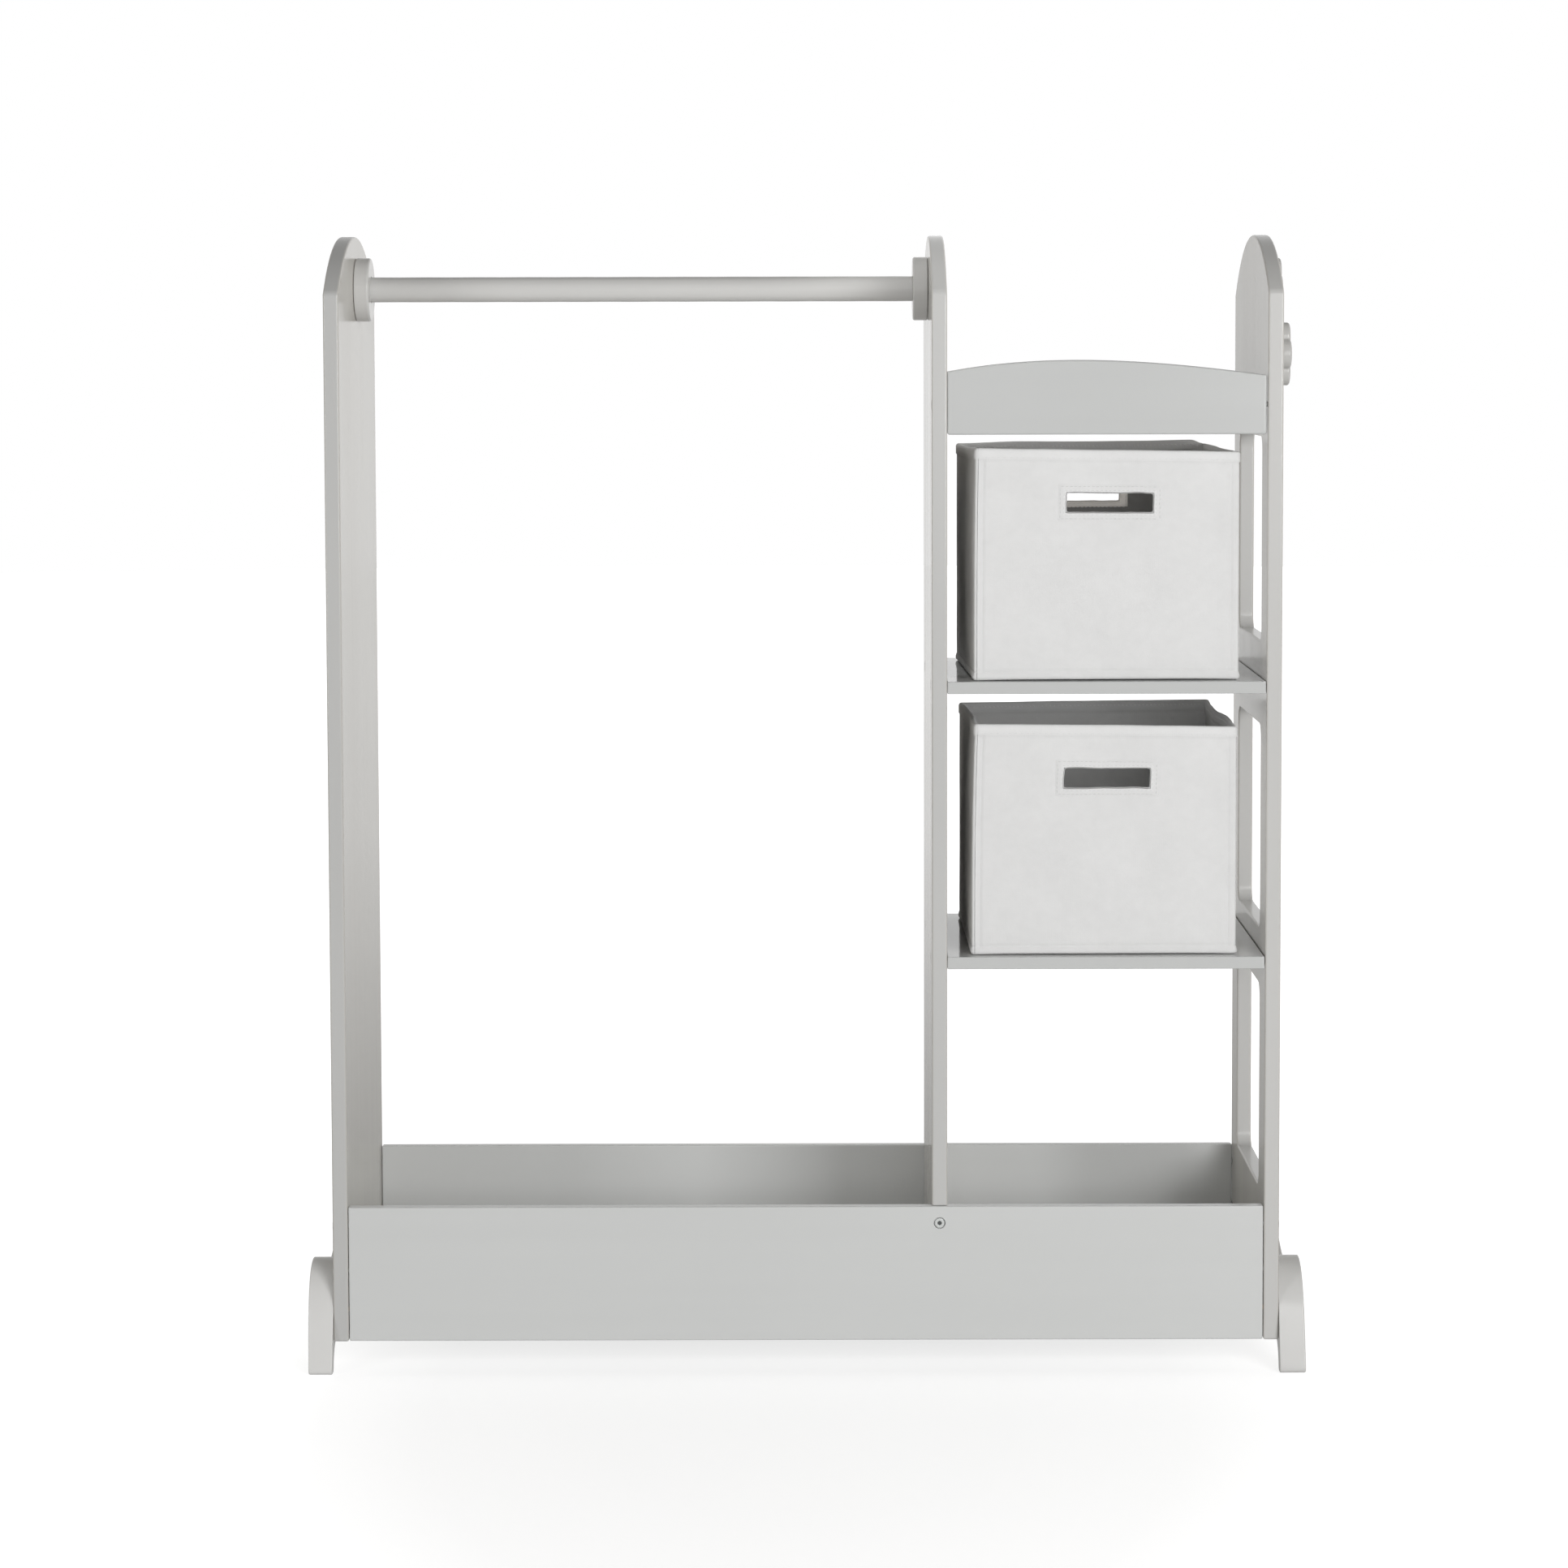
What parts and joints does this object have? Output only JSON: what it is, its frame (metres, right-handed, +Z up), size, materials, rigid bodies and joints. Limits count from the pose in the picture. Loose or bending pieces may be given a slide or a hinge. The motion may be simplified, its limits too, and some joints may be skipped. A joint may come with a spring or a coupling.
{
  "type": "dress-up storage unit",
  "caption": "Child's dress-up storage unit with a hanging rod, shelves with pull-out fabric bins, a low tray and a mirror on one side.",
  "frame": {"origin": "centre of the footprint, on the floor under the feet", "axes": "+Z up, +X to the right seen from the front, front faces -Y"},
  "size_m": [0.978, 0.342, 1.117],
  "materials": {
    "painted_board": "light grey semi-gloss paint on board",
    "painted_rod": "light grey semi-gloss paint on turned wood",
    "painted_flower": "light grey semi-gloss paint on cut board",
    "zinc_steel": "zinc-plated",
    "dowel_wood": "raw beech",
    "mirror_sheet": "polished acrylic mirror",
    "bin_fabric": "white non-woven fabric over stiff board",
    "bin_base_board": "fabric-covered base insert"
  },
  "bodies": {
    "frame": {"left_side_panel": "painted_board", "right_side_panel": "painted_board", "divider_panel": "painted_board", "tray_front_board": "painted_board", "tray_back_board": "painted_board", "tray_floor_board": "painted_board", "upper_shelf": "painted_board", "lower_shelf": "painted_board", "valance_board": "painted_board", "left_foot": "painted_board", "right_foot": "painted_board", "clothes_rod": "painted_rod", "left_rod_flange": "painted_rod", "right_rod_flange": "painted_rod", "rod_bolts": "zinc_steel", "rod_insert_nuts": "zinc_steel", "front_flower_peg": "painted_flower", "middle_flower_peg": "painted_flower", "rear_flower_peg": "painted_flower", "peg_dowels": "dowel_wood", "side_mirror": "mirror_sheet", "mirror_screws": "zinc_steel", "shelf_bolts": "zinc_steel", "shelf_barrel_nuts": "zinc_steel", "shelf_dowels": "dowel_wood", "tray_bolts": "zinc_steel", "tray_barrel_nuts": "zinc_steel", "tray_dowels": "dowel_wood", "valance_bolts": "zinc_steel", "valance_barrel_nuts": "zinc_steel", "divider_bolts": "zinc_steel", "divider_barrel_nuts": "zinc_steel", "foot_bolts": "zinc_steel", "foot_insert_nuts": "zinc_steel"},
    "upper_bin": {"upper_bin_shell": "bin_fabric", "upper_bin_base": "bin_base_board"},
    "lower_bin": {"lower_bin_shell": "bin_fabric", "lower_bin_base": "bin_base_board"}
  },
  "joints": [
    {"name": "upper_bin_pull", "type": "slide", "parent": "frame", "child": "upper_bin", "axis": [0, -1, 0], "range_m": [0, 0.3]},
    {"name": "lower_bin_pull", "type": "slide", "parent": "frame", "child": "lower_bin", "axis": [0, -1, 0], "range_m": [0, 0.3]}
  ]
}
